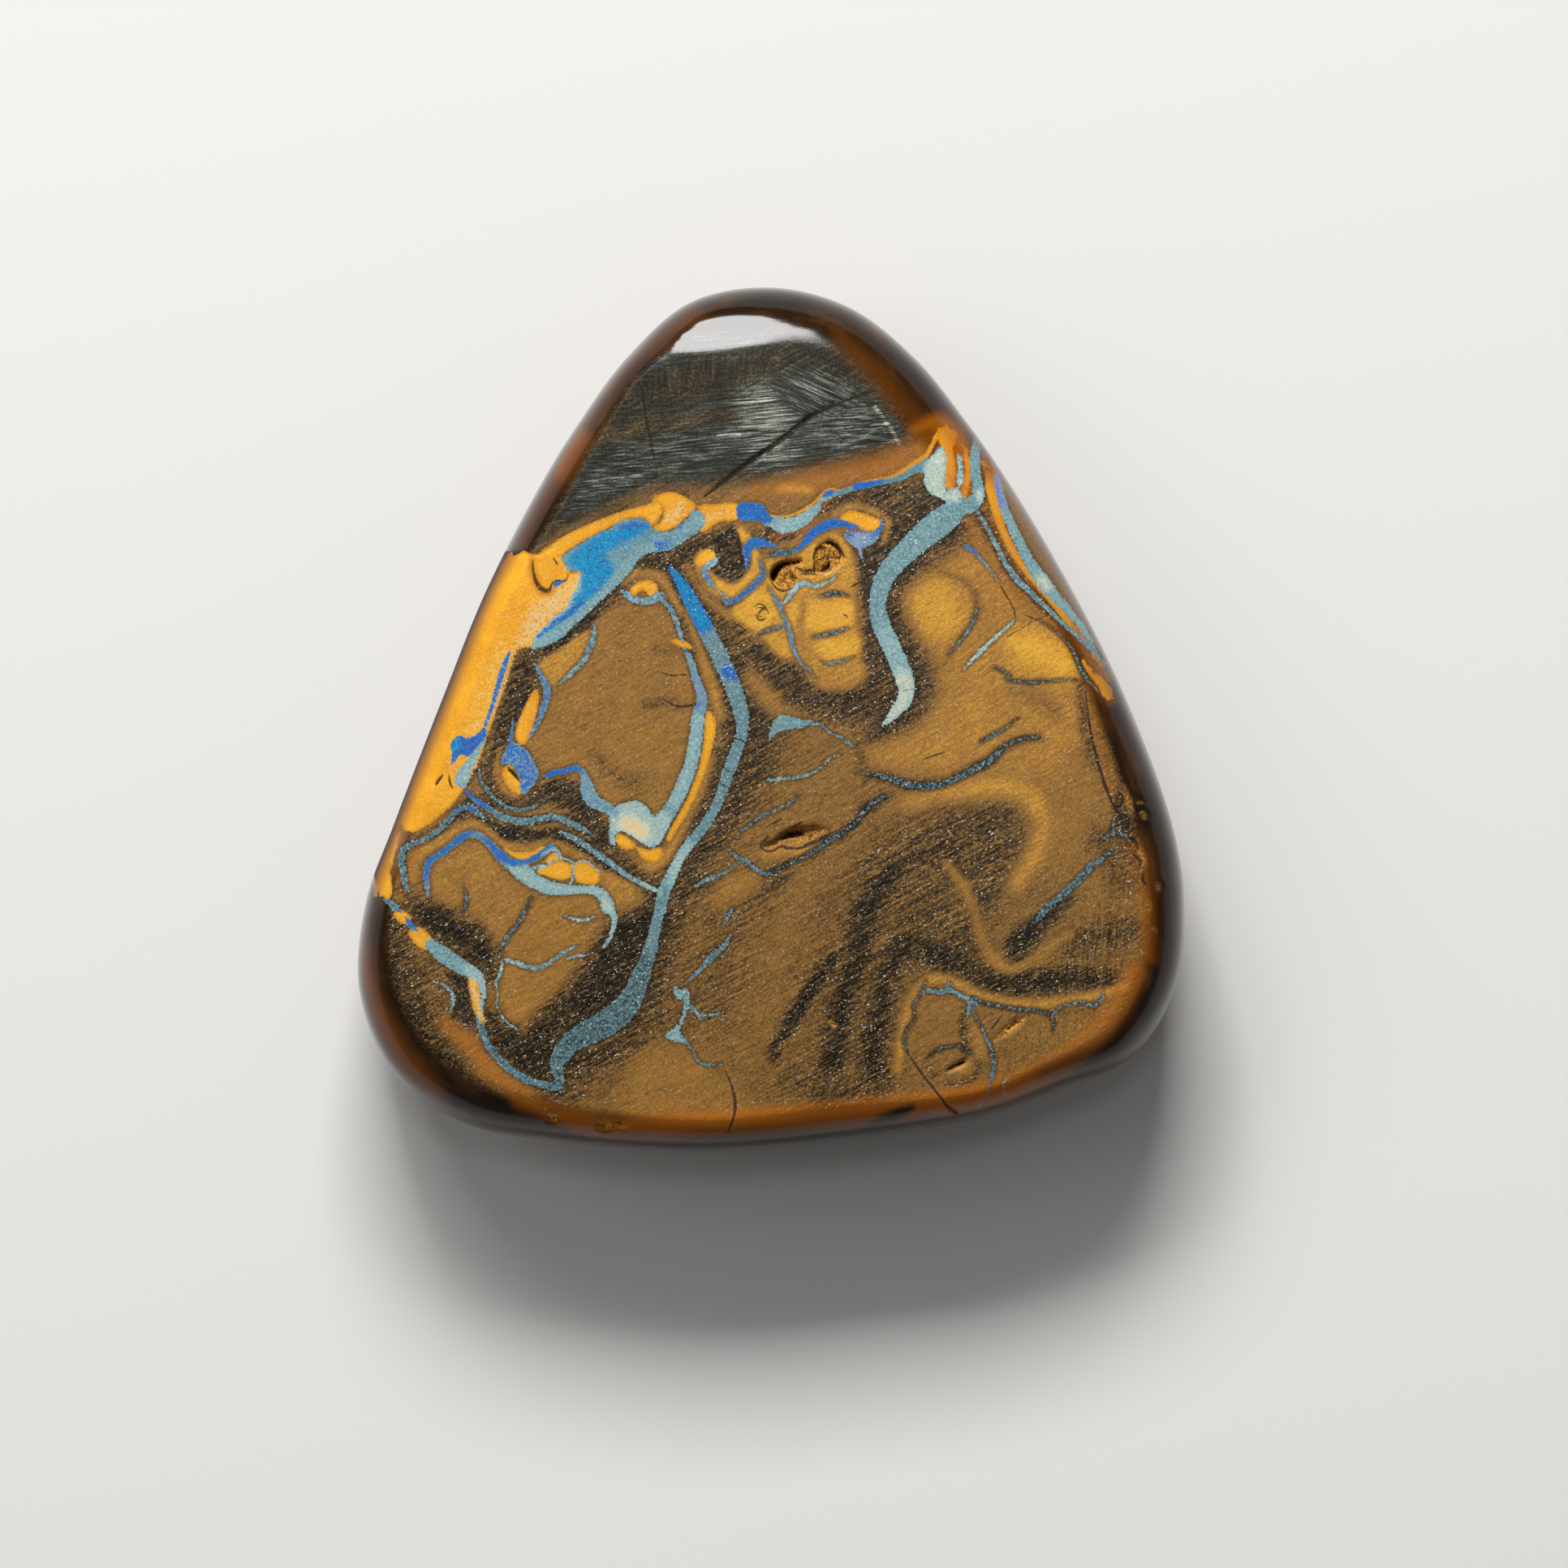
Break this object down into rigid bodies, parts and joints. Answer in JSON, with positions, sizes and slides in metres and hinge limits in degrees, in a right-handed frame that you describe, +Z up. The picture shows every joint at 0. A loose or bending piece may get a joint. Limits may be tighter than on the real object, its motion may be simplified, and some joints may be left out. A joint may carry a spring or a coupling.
{
  "type": "polished boulder opal",
  "caption": "Rounded-triangle freeform stone of brown ironstone laced with blue-grey opal veins, with a lapped, gently domed face and a flat back to rest on.",
  "frame": {"origin": "on the flat back, under the middle of the stone's outline", "axes": "+Y towards the stone's narrow tip, +Z up out of the lapped face, +X to the right as the face is looked at with the tip up"},
  "size_m": [0.0286, 0.03, 0.0084],
  "materials": {
    "opal_ironstone": "lapped and polished, glossy on the shoulder and satin with fine grinding marks on the face"
  },
  "bodies": {
    "root": {"stone": "opal_ironstone"}
  },
  "joints": []
}
